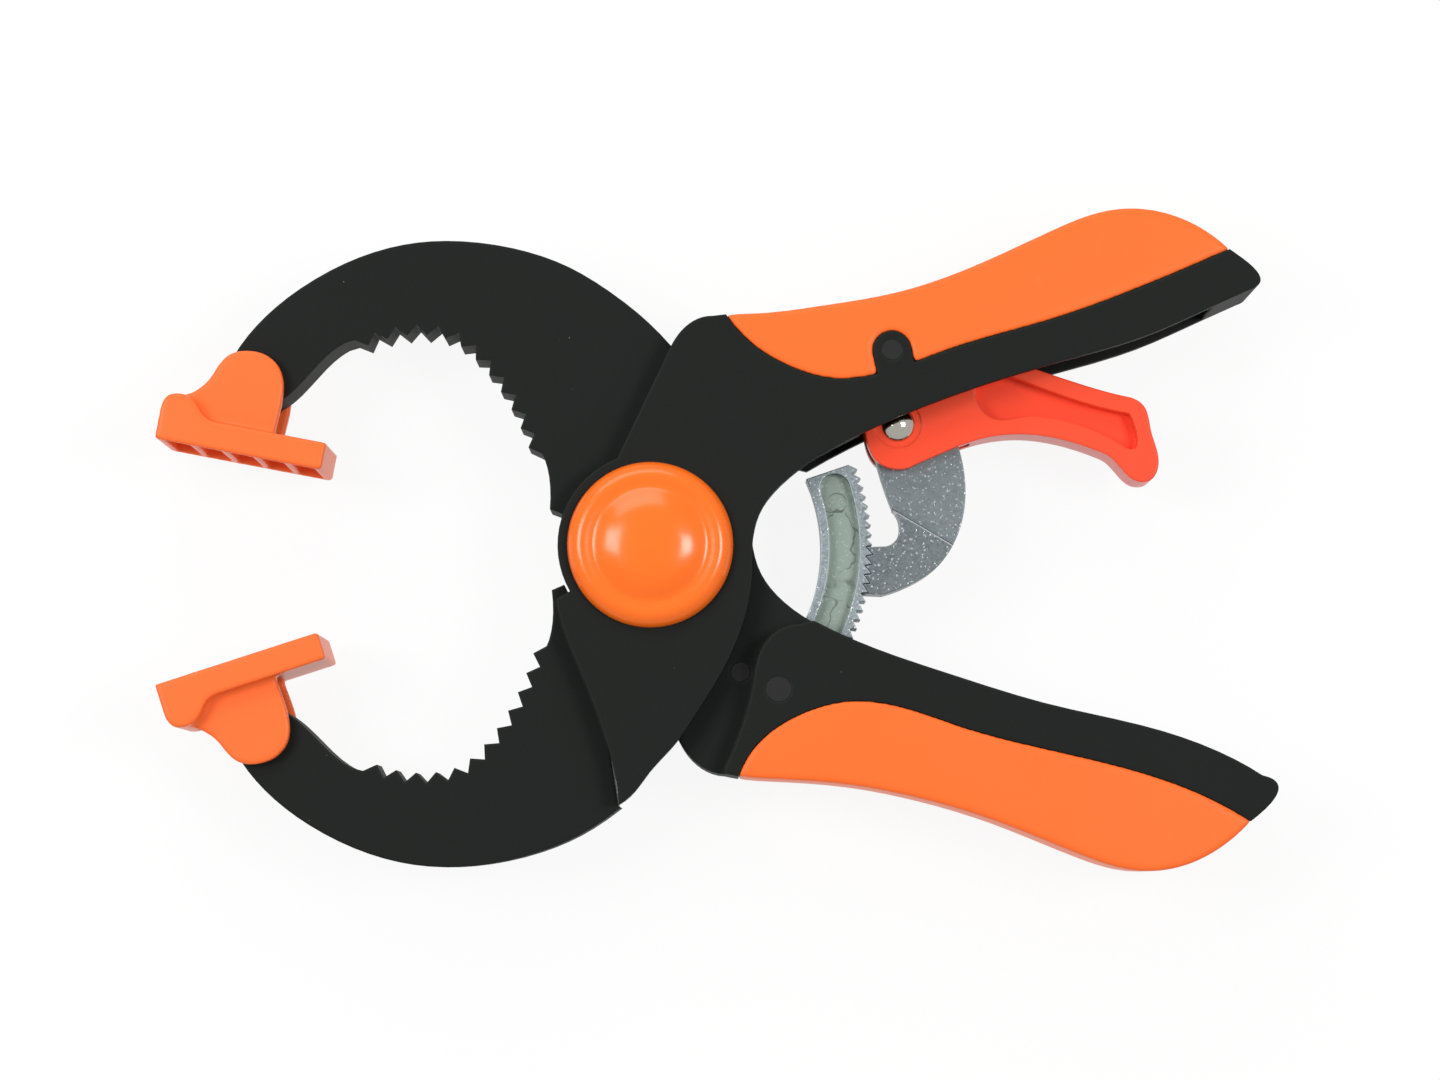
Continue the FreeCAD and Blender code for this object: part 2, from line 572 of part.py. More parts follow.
def helix(radius, pitch, turns, start, base):
    """Edges of a coil about Z, a quarter turn at a time."""
    count = int(round(turns * 4))
    edges = []

    def at(i):
        angle = math.radians(start + 360.0 * turns * i / count)
        place = vec(radius * math.cos(angle), radius * math.sin(angle), base + pitch * turns * i / count)
        rise = pitch / (2 * math.pi * radius)
        way = vec(-math.sin(angle), math.cos(angle), rise)
        return place, way * (1 / way.Length)

    for i in range(count):
        (a, ta), (b, tb) = at(i), at(i + 1)
        edges += biarc(a, ta, b, tb)
    return edges, at(0), at(count)


def tube(edges, radius):
    """A round wire along the edges."""
    path = Part.Wire(edges)
    start = edges[0].valueAt(edges[0].FirstParameter)
    way = edges[0].tangentAt(edges[0].FirstParameter)
    section = Part.Wire([Part.Circle(start, way, radius).toShape()])
    return path.makePipeShell([section], True, False)


def spring_pocket_depth():
    return SPRING_TURNS * SPRING_PITCH + SPRING_WIRE + SPRING_UNDER + SPRING_OVER


def spring_base():
    return JAW_HALF - spring_pocket_depth() + SPRING_WIRE / 2 + SPRING_UNDER


def spring_foot_low():
    return spring_base() - SPRING_BEND - SPRING_END


def spring_head_top():
    return spring_base() + SPRING_TURNS * SPRING_PITCH + SPRING_BEND + SPRING_END


def spring_end_place(turns):
    """Where the straight end of the spring stands."""
    angle = 360.0 * turns
    sign = 1 if turns else -1
    place = polar(SPRING_R, angle)
    way = polar(SPRING_BEND * sign, angle + 90)
    return (place[0] + way[0], place[1] + way[1])


def least_gap(path, thick):
    """The least clear distance between stretches of a wire that aren't neighbours."""
    wire = Part.Wire(path)
    places = wire.discretize(Number=400)
    apart = int(3 * thick * len(places) / wire.Length) + 1
    return min((b - a).Length for i, a in enumerate(places) for b in places[i + apart:]) - thick


def torsion_path():
    """Centre line of the opening spring, one straight end in each half."""
    coil, (a, ta), (b, tb) = helix(SPRING_R, SPRING_PITCH, SPRING_TURNS, 0.0, spring_base())
    foot = spring_end_place(0.0)
    head = spring_end_place(SPRING_TURNS)
    foot_bend = vec(foot[0], foot[1], a.z - SPRING_BEND)
    head_bend = vec(head[0], head[1], b.z + SPRING_BEND)
    down, up = vec(0, 0, -SPRING_END), vec(0, 0, SPRING_END)
    path = [Part.makeLine(foot_bend + down, foot_bend)]
    path += biarc(foot_bend, vec(0, 0, 1), a, ta)
    path += coil
    path += biarc(b, tb, head_bend, vec(0, 0, 1))
    path += [Part.makeLine(head_bend, head_bend + up)]
    return path


def torsion_spring():
    return tube(torsion_path(), SPRING_WIRE / 2)


def return_path():
    """Centre line of the trigger's return spring, about Z."""
    height = RETURN_SPRING_HEAD - RETURN_SPRING_FOOT - RETURN_SPRING_WIRE - 2 * RETURN_SPRING_PLAY
    return helix(RETURN_SPRING_R, height / RETURN_SPRING_TURN_COUNT, RETURN_SPRING_TURN_COUNT, 0.0, 0.0)[0]


def pawl_spring():
    """Return spring between the trigger and the handle's back."""
    spring = tube(return_path(), RETURN_SPRING_WIRE / 2)
    spring.rotate(vec(0, 0), vec(1, 0, 0), -90)
    spring.translate(vec(RETURN_SPRING_X, RETURN_SPRING_FOOT + RETURN_SPRING_WIRE / 2 + RETURN_SPRING_PLAY, 0))
    return spring


def post(x, low, high, radius):
    """A round post along Y."""
    return Part.makeCylinder(radius, high - low, vec(x, low, 0), vec(0, 1, 0))


def return_spring_seat():
    """Flat seat under the handle's back, with a peg inside the spring."""
    seat = post(RETURN_SPRING_X, RETURN_SPRING_HEAD, RETURN_SPRING_HEAD + 4.0, SPRING_SEAT_R)
    peg = post(RETURN_SPRING_X, RETURN_SPRING_HEAD - SPRING_PEG, RETURN_SPRING_HEAD + 1.0, SPRING_PEG_R)
    return seat.fuse(peg)


def cap(half):
    """Domed cover on the hub plate, with a skirt in its groove."""
    outside = [vec(r, 0, z) for r, z in CAP_PROFILE]
    inside = [vec(min(r, CAP_SKIRT_R - CAP_WALL), 0, max(z - CAP_WALL, 0.0)) for r, z in CAP_PROFILE[2:]]
    outer = Part.BSplineCurve()
    outer.interpolate(outside)
    inner = Part.BSplineCurve()
    inner.interpolate(inside[::-1])
    skirt_in = CAP_SKIRT_R - CAP_WALL
    corners = [vec(inside[0].x, 0, inside[0].z), vec(skirt_in, 0, 0), vec(skirt_in, 0, -CAP_SKIRT),
               vec(CAP_SKIRT_R, 0, -CAP_SKIRT), vec(CAP_SKIRT_R, 0, 0), outside[0]]
    edges = [outer.toShape(), Part.makeLine(outside[-1], inside[-1]), inner.toShape()]
    edges += [Part.makeLine(a, b) for a, b in zip(corners, corners[1:]) if (a - b).Length > 1e-6]
    dome = Part.Face(Part.Wire(edges)).revolve(vec(0, 0), vec(0, 0, 1), 360)
    dome.translate(vec(0, 0, HANDLE_HALF))
    if half.side < 0:
        dome.rotate(vec(0, 0), vec(1, 0, 0), 180)
    return dome


def hexagon(radius, low, high):
    corners = [polar(radius, 60.0 * i) for i in range(7)]
    return slab(face(straight(corners)), low, high)


def bolt_bottom():
    return -HANDLE_HALF - END_PLAY - WASHER_THICK


def pivot_bolt():
    top = HANDLE_HALF + WASHER_THICK
    head = hexagon(HEAD_R, top, top + HEAD_HEIGHT)
    return head.fuse(disc((0, 0), BOLT_R, bolt_bottom() - HEAD_HEIGHT, top))


def pivot_nut():
    nut = hexagon(HEAD_R, bolt_bottom() - HEAD_HEIGHT, bolt_bottom())
    return nut.cut(disc((0, 0), BOLT_R + SEAT_PLAY, bolt_bottom() - HEAD_HEIGHT - 1, bolt_bottom() + 1))


def front_washer():
    return ring(BOLT_R + SEAT_PLAY, WASHER_R, HANDLE_HALF, HANDLE_HALF + WASHER_THICK)


def rear_washer():
    return ring(BOLT_R + SEAT_PLAY, WASHER_R, bolt_bottom(), bolt_bottom() + WASHER_THICK)


def pivot_bush():
    return ring(BOLT_R + SHAFT_PLAY, BUSH_R, -HANDLE_HALF - END_PLAY, HANDLE_HALF)


def ratchet_sector():
    """Cast toothed arc with a channel along each side."""
    body = sector_body(0.0, SECTOR_HALF, SECTOR_TOP, True)
    inner = SECTOR_IN_R + SECTOR_RIM
    outer = TOOTH_TIP_R - TOOTH_DEPTH - SECTOR_RIM + 0.6
    channel = face(
        arc((0, 0), outer, CHANNEL_TOP - 2.0, CHANNEL_FOOT),
        arc((0, 0), inner, CHANNEL_FOOT, CHANNEL_TOP - 2.0),
    )
    middle = polar((inner + outer) / 2, CHANNEL_TOP - 2.0)
    for low, high in ((SECTOR_WEB_HALF, SECTOR_HALF), (-SECTOR_HALF, -SECTOR_WEB_HALF)):
        body = body.cut(slab(channel, low, high).fuse(disc(middle, (outer - inner) / 2, low, high)))
    mark = disc(EJECTOR_MARK, EJECTOR_R, SECTOR_WEB_HALF - EJECTOR_DEPTH, SECTOR_WEB_HALF)
    body = body.cut(mark)
    body = body.cut(disc(SECTOR_PIN_OUTER, SECTOR_PIN_OUTER_R + SEAT_PLAY, -SECTOR_HALF, SECTOR_HALF))
    body = body.cut(disc(SECTOR_PIN_INNER, SECTOR_PIN_INNER_R + SEAT_PLAY, -SECTOR_HALF, SECTOR_HALF))
    return body.removeSplitter()


def sector_pin_outer():
    return disc(SECTOR_PIN_OUTER, SECTOR_PIN_OUTER_R, -HANDLE_HALF, HANDLE_HALF)


def sector_pin_inner():
    return disc(SECTOR_PIN_INNER, SECTOR_PIN_INNER_R, -HANDLE_HALF, JAW_HALF)


def pawl():
    """Cast hook with five teeth, thicker below the slanting step."""
    lag = math.degrees(TOOTH_PLAY / TOOTH_TIP_R)
    teeth = saw(FIRST_TOOTH - SKIPPED_TOOTH_COUNT * PITCH_ANGLE, PAWL_TOOTH_COUNT, 2 * TOOTH_PLAY, lag)
    plan = face(
        straight(teeth[::-1]),
        smooth(PAWL_THROAT),
        smooth(PAWL_NECK),
        arc(PAWL_PIN, PAWL_ARM_R, 190.0, 0.0),
        smooth(PAWL_BACK),
    )
    body = slab(plan, -SECTOR_HALF, SECTOR_HALF)
    beyond = [(80.0, 20.0), (80.0, 60.0), (30.0, 60.0), (30.0, 20.0)]
    above = face(straight(PAWL_STEP + beyond))
    body = body.cut(slab(above, PAWL_HALF, SECTOR_HALF)).cut(slab(above, -SECTOR_HALF, -PAWL_HALF))
    body = body.cut(disc(PAWL_PIN, PAWL_PIN_R + SHAFT_PLAY, -SECTOR_HALF, SECTOR_HALF))
    return body.cut(disc(RIVET, RIVET_R + SEAT_PLAY, -SECTOR_HALF, SECTOR_HALF))


def pawl_pivot_pin():
    return disc(PAWL_PIN, PAWL_PIN_R, -HANDLE_HALF, HANDLE_HALF)


def trigger():
    """Finger lever whose two cheeks hold the pawl."""
    hub_left = (PAWL_PIN[0] - TRIGGER_HUB_R, PAWL_PIN[1])
    plan = face(
        smooth(TRIGGER_END),
        smooth(TRIGGER_UNDER),
        smooth(TRIGGER_TOE),
        smooth(TRIGGER_TOP),
        arc(PAWL_PIN, TRIGGER_HUB_R, 62.0, 180.0),
        straight([hub_left, TRIGGER_END[0]]),
    )
    body = slab(plan, -TRIGGER_HALF, TRIGGER_HALF)
    slot = PAWL_HALF + PAWL_PLAY
    body = body.cut(Part.makeBox(TRIGGER_SLOT_END - 30.0, 60.0, 2 * slot, vec(30.0, 0.0, -slot)))
    pocket = face(smooth(POCKET_TOP), smooth(POCKET_END), smooth(POCKET_UNDER))
    body = body.cut(slab(pocket, TRIGGER_WEB_HALF, TRIGGER_HALF))
    body = body.cut(slab(pocket, -TRIGGER_HALF, -TRIGGER_WEB_HALF))
    body = body.cut(post(RETURN_SPRING_X, RETURN_SPRING_FOOT, RETURN_SPRING_HEAD, SPRING_SEAT_R - 0.4))
    floor = TRIGGER_HALF - SPOT_FACE_DEPTH
    for low, high in ((floor, TRIGGER_HALF), (-TRIGGER_HALF, -floor)):
        body = body.cut(disc(RIVET, SPOT_FACE_R, low, high))
    body = body.cut(disc(PAWL_PIN, PAWL_PIN_R + SHAFT_PLAY, -TRIGGER_HALF, TRIGGER_HALF))
    return body.cut(disc(RIVET, RIVET_R + SEAT_PLAY, -TRIGGER_HALF, TRIGGER_HALF))


def trigger_rivet():
    """Domed at both ends."""
    seat = TRIGGER_HALF - SPOT_FACE_DEPTH
    sphere_r = (RIVET_HEAD_R ** 2 + RIVET_HEAD_RISE ** 2) / (2 * RIVET_HEAD_RISE)
    rivet = disc(RIVET, RIVET_R, -seat, seat)
    for way in (1, -1):
        centre = vec(RIVET[0], RIVET[1], way * (seat + RIVET_HEAD_RISE - sphere_r))
        ball = Part.makeSphere(sphere_r, centre)
        above = disc(RIVET, RIVET_HEAD_R + 1, way * seat, way * (seat + RIVET_HEAD_RISE + 1))
        rivet = rivet.fuse(ball.common(above))
    return rivet.removeSplitter()


def pad(half):
    """Swivel pad: a ribbed clamping bar and two cheeks round the jaw's tip."""
    face_y = -PAD_FACE_DROP
    bar_top = face_y + PAD_BAR
    bar = face(
        straight([(PAD_LEFT, face_y), (PAD_RIGHT, face_y), (PAD_RIGHT, bar_top - 0.6), (PAD_RIGHT - 0.8, bar_top),
                  (PAD_NOSE[-1][0], bar_top)]),
        smooth([(PAD_NOSE[-1][0], bar_top)] + PAD_NOSE[-2:-1] + [PAD_NOSE[-3]]),
        smooth(PAD_NOSE[-3::-1]),
    )
    body = slab(bar, -PAD_HALF, PAD_HALF)
    cheek = face(
        arc((0, 0), PAD_BOSS_R, 0.0, 180.0),
        smooth([(-PAD_BOSS_R, 0.0)] + CHEEK_NECK_LEFT[::-1]),
        straight([CHEEK_NECK_LEFT[0], (-9.0, bar_top - 1.0), (CHEEK_NECK_RIGHT[-1][0], bar_top - 1.0)]),
        smooth(CHEEK_NECK_RIGHT[::-1] + [(PAD_BOSS_R, 0.0)]),
    )
    body = body.fuse([slab(cheek, PAD_SLOT_HALF, PAD_CHEEK_OUT), slab(cheek, -PAD_CHEEK_OUT, -PAD_SLOT_HALF)])
    cell = (PAD_RIGHT - PAD_LEFT - 2 * PAD_RIM - (PAD_CELL_COUNT - 1) * PAD_RIB) / PAD_CELL_COUNT
    for i in range(PAD_CELL_COUNT):
        x = PAD_LEFT + PAD_RIM + i * (cell + PAD_RIB)
        wide = PAD_HALF - PAD_RIM
        body = body.cut(Part.makeBox(cell, PAD_POCKET_DEPTH, 2 * wide, vec(x, face_y, -wide)))
    pin_end = PAD_CHEEK_OUT - PAD_PIN_COVER
    body = body.cut(disc((0, 0), PAD_PIN_R + SHAFT_PLAY, -pin_end, pin_end))
    if half.side > 0:
        body.rotate(vec(0, 0), vec(1, 0, 0), 180)
    body.rotate(vec(0, 0), vec(0, 0, 1), LOWER_PAD_TURN if half.side > 0 else UPPER_PAD_TURN)
    hinge = half.pad_hinge()
    body.translate(vec(hinge[0], hinge[1]))
    return body.removeSplitter()


def pad_pin(half):
    pin_end = PAD_CHEEK_OUT - PAD_PIN_COVER - 0.05
    return disc(half.pad_hinge(), PAD_PIN_R, -pin_end, pin_end)


def build():
    """Every node by name, drawn round the pivot."""
    return {
        "front_arm": front_arm(),
        "rear_arm": rear_arm(),
        "upper_grip": grip(FRONT),
        "lower_grip": grip(REAR),
        "front_cap": cap(FRONT),
        "rear_cap": cap(REAR),
        "pivot_bolt": pivot_bolt(),
        "pivot_nut": pivot_nut(),
        "front_washer": front_washer(),
        "rear_washer": rear_washer(),
        "pivot_bush": pivot_bush(),
        "torsion_spring": torsion_spring(),
        "upper_jaw_pad": pad(REAR),
        "lower_jaw_pad": pad(FRONT),
        "upper_pad_pin": pad_pin(REAR),
        "lower_pad_pin": pad_pin(FRONT),
        "ratchet_sector": ratchet_sector(),
        "sector_pin_outer": sector_pin_outer(),
        "sector_pin_inner": sector_pin_inner(),
        "pawl": pawl(),
        "pawl_pivot_pin": pawl_pivot_pin(),
        "trigger": trigger(),
        "trigger_rivet": trigger_rivet(),
        "pawl_spring": pawl_spring(),
    }


def main():
    os.makedirs("parts", exist_ok=True)
    nodes = build()
    box = Part.makeCompound(list(nodes.values())).optimalBoundingBox(True, False)
    origin = vec((box.XMin + box.XMax) / 2, (box.YMin + box.YMax) / 2, box.ZMin)
    print("pivot in the row's frame", [round(v, 3) for v in (-origin.x, -origin.y, -origin.z)])
    print("least gap in torsion_spring", round(least_gap(torsion_path(), SPRING_WIRE), 2))
    print("least gap in pawl_spring", round(least_gap(return_path(), RETURN_SPRING_WIRE), 2))
    for name, shape in nodes.items():
        shape.translate(origin * -1)
        print(name, len(shape.Solids), shape.isValid(), round(shape.Volume, 1))
        shape.exportStep("parts/" + name + ".step")


main()
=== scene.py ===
"""Looks of the ratcheting spring clamp: finishes for its CAD nodes, fine pieces of its own, studio and camera.

Every length is in metres, in the frame of the CAD model. The clamp lies on the floor with its pivot upright,
and the camera stands over it.
"""

import math

import bmesh
import bpy
import numpy as np
from bpy.props import FloatProperty, FloatVectorProperty, PointerProperty
from mathutils import Matrix, Vector


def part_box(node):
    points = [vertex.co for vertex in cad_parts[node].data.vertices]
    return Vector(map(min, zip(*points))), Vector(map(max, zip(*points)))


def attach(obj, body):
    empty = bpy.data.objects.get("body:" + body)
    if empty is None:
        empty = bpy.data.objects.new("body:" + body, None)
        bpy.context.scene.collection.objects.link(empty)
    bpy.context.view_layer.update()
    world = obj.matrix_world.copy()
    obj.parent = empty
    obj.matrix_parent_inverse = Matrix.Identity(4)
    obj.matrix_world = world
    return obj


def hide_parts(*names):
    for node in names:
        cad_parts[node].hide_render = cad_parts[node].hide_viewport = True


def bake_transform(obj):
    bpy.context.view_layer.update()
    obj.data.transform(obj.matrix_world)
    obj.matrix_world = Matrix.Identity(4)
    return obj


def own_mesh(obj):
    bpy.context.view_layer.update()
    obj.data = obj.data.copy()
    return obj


bl_info = {
    "name": "Ratcheting spring clamp",
    "version": (1, 0, 0),
    "blender": (4, 5, 0),
    "location": "3D View > Sidebar > Clamp",
    "description": "Builds the looks of a ratcheting spring clamp round its CAD model",
    "category": "Object",
}

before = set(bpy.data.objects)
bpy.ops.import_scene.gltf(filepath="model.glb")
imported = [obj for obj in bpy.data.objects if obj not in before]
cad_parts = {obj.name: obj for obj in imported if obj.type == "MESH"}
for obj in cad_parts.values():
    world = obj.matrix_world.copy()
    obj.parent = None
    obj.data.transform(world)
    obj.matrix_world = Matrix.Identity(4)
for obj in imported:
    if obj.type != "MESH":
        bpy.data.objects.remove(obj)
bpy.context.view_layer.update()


def middle_of(node):
    """Middle of a CAD node's box."""
    low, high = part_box(node)
    return (Vector(low) + Vector(high)) / 2


PIVOT = middle_of("pivot_bush")

# Pads, about their hinge: outline of the cheeks, outline of the bar with its nose, and how far each pad is turned
PAD_CHEEK = np.array([
    (-12.3, -9.5), (-12.3, -4.3), (-10.7, -3.4), (-8.9, -1.5), (-7.8, 0.4), (-7.0, 2.5), (-5.7, 4.7), (-3.6, 6.1),
    (-1.0, 6.65), (1.8, 6.4), (4.4, 4.9), (6.0, 2.4), (6.6, -0.6), (6.7, -3.4), (6.5, -8.0), (6.6, -9.5)
]) / 1000
PAD_TOP = np.array([
    (-16.0, -11.3), (-16.0, -8.6), (-15.9, -7.0), (-15.0, -5.2), (-13.2, -4.5), (-11.6, -4.6), (-9.9, -5.4),
    (-8.7, -6.6), (-7.6, -7.8), (-5.8, -8.6), (-3.8, -8.7), (17.2, -8.7), (17.2, -11.3)
]) / 1000
PAD_NOSE_END = 11           # the bar's outline is curved up to this point
UPPER_PAD_TURN = math.radians(-10.8)
LOWER_PAD_TURN = math.radians(18.0)
PAD_BOTTOM = -0.0141
PAD_WIDE = 0.0125           # half the width of the bar
PAD_WALL = 0.0016
PAD_RIB = 0.0013
PAD_OVERLAP = 0.0004        # how far the walls run up into the bar
PAD_CELL_COUNT = 5
CHEEK_IN, CHEEK_OUT = 0.0068, 0.0094

# Rounding of the soft mouldings: how often each point moves towards its neighbours
GRIP_PASSES = 10
PAD_PASSES = 4

# Line across the pawl where it gets thicker, painted as a dark shade line with a painted highlight along one side:
# from the pivot, with half the line's width, and where the painted highlight starts and ends
PAWL_CREASE = ((0.0470, 0.0081), (0.0610, -0.0002))
CREASE_HALF = 0.00012
CREASE_HIGHLIGHT = (0.00014, 0.00036)
# Heights from the middle between which the sector's channel has its floor
CHANNEL_FLOOR = (0.0010, 0.0026)

# Sizes of the finishes' patterns, in metres
BODY_CLOUD = 0.018
DUST_SPACING = 0.0042
DUST_PATCH = 0.016
MOULD_CLOUD = 0.030
MOULD_GRAIN = 0.00045
RUB_SIZE = 0.004
GLOSS_CLOUD = 0.020
GLOSS_RIPPLE = 0.004
SCRATCH_LENGTH = 0.006
ZINC_PATCH = 0.007
CRACK_SPACING = 0.0075
CRACK_BEND = 0.004
CRACK_WAVES = 260.0         # bends of a crack to the metre
METAL_STREAK = 0.006

# Depths of the finishes' relief, and the rounding of edges that have no setting
BODY_RELIEF = 0.00002
MOULD_RELIEF = 0.000012
GLOSS_RELIEF = 0.00003
ZINC_RELIEF = 0.00001
METAL_RELIEF = 0.000008
MOULD_EDGE = 0.0007
METAL_EDGE = 0.00025
PIN_EDGE = 0.0004

# Colours that only touch up a finish; the glint colour and the crease's highlight colour are painted highlights, and
# the crease colour is painted shade
DUST_TINT = (0.20, 0.19, 0.17)
PAINTED_GLINT_TINT = (0.85, 0.88, 0.90)
CREASE_SHADE_TINT = (0.012, 0.014, 0.014)
CREASE_HIGHLIGHT_TINT = (0.70, 0.73, 0.74)
CHANNEL_TINT = (0.29, 0.36, 0.30)
CRACK_TINT = (0.06, 0.075, 0.06)
PIN_TINT = (0.007, 0.008, 0.007)
RIVET_TINT = (0.90, 0.86, 0.76)
STEEL_TINT = (0.62, 0.63, 0.64)
WIRE_TINT = (0.36, 0.37, 0.38)

# Studio: the floor's half width and height, and each lamp's name, place, size and share of the lamp power
FLOOR_HALF = 6.0
FLOOR_HEIGHT = -0.0002
FLOOR_GLOW = 0.90
WORLD_STRENGTH = 0.42
LAMPS = (
    ("lamp_left", (-0.58, 0.12, 0.82), (0.34, 0.42), 1.0),
    ("lamp_right", (0.52, 0.04, 0.86), (0.26, 0.30), 0.9),
    ("lamp_top", (-0.25, 0.90, 0.75), (1.0, 0.5), 1.1),
)


# Sizes and colours that a user would change


def colour(name, description, default):
    """A colour swatch."""
    return FloatVectorProperty(
        name=name, description=description, subtype="COLOR", size=3, min=0.0, max=1.0, default=default
    )


def length(name, description, default):
    """A length in metres."""
    return FloatProperty(name=name, description=description, unit="LENGTH", default=default, min=0.0, precision=5)


class ClampColours(bpy.types.PropertyGroup):
    """Colours of the clamp's finishes."""

    body: colour("Body", "Moulded plastic of the two halves", (0.0048, 0.0062, 0.0052))
    grip: colour("Grips", "Soft overmould of the handles", (1.0, 0.158, 0.024))
    pad: colour("Pads", "Soft swivel pads", (1.0, 0.165, 0.034))
    cap: colour("Cap", "Glossy pivot cap", (1.0, 0.165, 0.010))
    trigger: colour("Trigger", "Release trigger", (0.97, 0.078, 0.030))
    casting: colour("Casting", "Blasted zinc castings", (0.22, 0.255, 0.27))


class ClampFinish(bpy.types.PropertyGroup):
    """How rough and how grainy the finishes are."""

    body_roughness: FloatProperty(name="Body roughness", description="Of the moulded body", default=0.66, min=0, max=1)
    grip_roughness: FloatProperty(name="Grip roughness", description="Of the overmould", default=0.40, min=0, max=1)
    grain: length("Grain", "Size of the body's moulded grain", 0.00035)
    spangle: length("Spangle", "Size of the casting's sparkling facets", 0.0003)
    body_edge: length("Body edge", "Rounding of the body's edges", 0.0009)
    cast_edge: length("Cast edge", "Rounding of the castings' edges", 0.0004)
    soft_voxel: length("Soft grid", "Grid on which the grips and pads are rounded", 0.0004)


class ClampStudio(bpy.types.PropertyGroup):
    """Camera and lamps."""

    lens: FloatProperty(name="Lens", description="Focal length in millimetres", default=108.0, min=1.0)
    tilt: FloatProperty(
        name="Tilt", description="Camera's lean from straight down", subtype="ANGLE", default=math.radians(4.5)
    )
    height: length("Height", "Camera above the middle of the clamp", 0.85223)
    back: length("Back", "Camera behind the pivot, towards the lower handle", 0.06519)
    along: length("Along", "Camera past the pivot, towards the handles", 0.01361)
    lamp_power: FloatProperty(name="Lamp power", description="Each side lamp, in watts", default=3.9, min=0.0)


class ClampSettings(bpy.types.PropertyGroup):
    """All the settings of the clamp."""

    colours: PointerProperty(type=ClampColours)
    finish: PointerProperty(type=ClampFinish)
    studio: PointerProperty(type=ClampStudio)


def settings():
    """The settings of this scene."""
    return bpy.context.scene.clamp


# Shader maths


class Amount:
    """A number that varies over a surface. Arithmetic on it adds the Math nodes that work it out."""

    def __init__(self, finish, socket):
        self.finish = finish
        self.socket = socket

    def math(self, operation, *values):
        """The result of one Math node."""
        return self.finish.node("ShaderNodeMath", {"operation": operation}, dict(enumerate(values)))

    def __add__(self, other):
        return self.math("ADD", self, other)

    __radd__ = __add__

    def __mul__(self, other):
        return self.math("MULTIPLY", self, other)

    __rmul__ = __mul__

    def __sub__(self, other):
        return self.math("SUBTRACT", self, other)

    def __rsub__(self, other):
        return self.math("SUBTRACT", other, self)

    def above(self, edge, width):
        """0 under the edge and 1 over it, with a ramp of the given width."""
        return self.finish.node(
            "ShaderNodeMapRange", {"clamp": True}, {0: self, 1: edge - width / 2, 2: edge + width / 2, 3: 0.0, 4: 1.0}
        )

    def clipped(self):
        """Kept between 0 and 1."""
        return self.math("MINIMUM", self.math("MAXIMUM", self, 0.0), 1.0)


class Finish:
    """A material under construction, with its Principled shader."""

    def __init__(self, name):
        self.material = bpy.data.materials.new(name)
        self.material.use_nodes = True
        self.tree = self.material.node_tree
        self.tree.nodes.clear()
        self.output = self.tree.nodes.new("ShaderNodeOutputMaterial")
        self.shader = self.tree.nodes.new("ShaderNodeBsdfPrincipled")
        self.tree.links.new(self.shader.outputs[0], self.output.inputs[0])
        self.place = self.node("ShaderNodeTexCoord", {}, {}, "Object")
        self.bent = None

    def node(self, kind, settings, values, output=0):
        """Adds a node: its settings first, then its sockets, each a number, a colour or a link."""
        made = self.tree.nodes.new(kind)
        for key, value in settings.items():
            setattr(made, key, value)
        for key, value in values.items():
            self.feed(made.inputs[key], value)
        return Amount(self, made.outputs[output])

    def feed(self, socket, value):
        """Links or sets one socket."""
        if isinstance(value, Amount):
            self.tree.links.new(value.socket, socket)
        elif isinstance(value, (int, float)):
            socket.default_value = value
        else:
            value = tuple(value)
            socket.default_value = value + (1.0,) if len(value) == 3 and len(socket.default_value) == 4 else value

    def set(self, **values):
        """Sets the shader's sockets, with _ for a space."""
        for key, value in values.items():
            self.feed(self.shader.inputs[key.replace("_", " ")], value)

    def noise(self, size, detail=2.0, roughness=0.5, distortion=0.0, place=None):
        """Cloudy noise from 0 to 1 whose blobs have the given size in metres."""
        return self.node(
            "ShaderNodeTexNoise",
            {"noise_dimensions": "3D"},
            {
                "Vector": place or self.place,
                "Scale": 1.0 / size,
                "Detail": detail,
                "Roughness": roughness,
                "Distortion": distortion,
            },
        )

    def cells(self, size, feature="F1", output="Distance", place=None):
        """Distance or colour of a pattern of random cells of the given size in metres."""
        return self.node(
            "ShaderNodeTexVoronoi", {"feature": feature}, {"Vector": place or self.place, "Scale": 1.0 / size}, output
        )

    def part(self, vector, axis):
        """One coordinate of a vector."""
        return self.node("ShaderNodeSeparateXYZ", {}, {0: vector}, axis)

    def distance(self, axis, middle):
        """How far a point is from a plane across an axis."""
        offset = self.part(self.place, axis) - middle
        return offset.math("ABSOLUTE", offset)

    def mix(self, factor, first, second):
        """A colour between two colours."""
        return self.node(
            "ShaderNodeMix", {"data_type": "RGBA"}, {"Factor": factor, 6: first, 7: second}, 2
        )

    def rounded(self, radius):
        """The surface's direction with its edges rounded to the radius."""
        if self.bent is None:
            self.bent = self.node("ShaderNodeBevel", {"samples": 6}, {"Radius": radius})
        return self.bent

    def painted_edge_highlight(self, radius):
        """1 along rounded edges and 0 on flats, from how far the rounding turns the surface: where a painted highlight
        lightens the edges.
        """
        flat = self.node("ShaderNodeNewGeometry", {}, {}, "Normal")
        agree = self.node("ShaderNodeVectorMath", {"operation": "DOT_PRODUCT"}, {0: flat, 1: self.rounded(radius)}, 1)
        return (1 - agree).above(0.10, 0.18)

    def bump(self, height, depth, normal=None):
        """Relief of the given depth in metres where the height is 1."""
        values = {"Height": height, "Distance": depth, "Strength": 1.0}
        if normal:
            values["Normal"] = normal
        return self.node("ShaderNodeBump", {}, values)


def shade(tint, factor):
    """The colour made lighter or darker."""
    return tuple(min(1.0, c * factor) for c in tint)


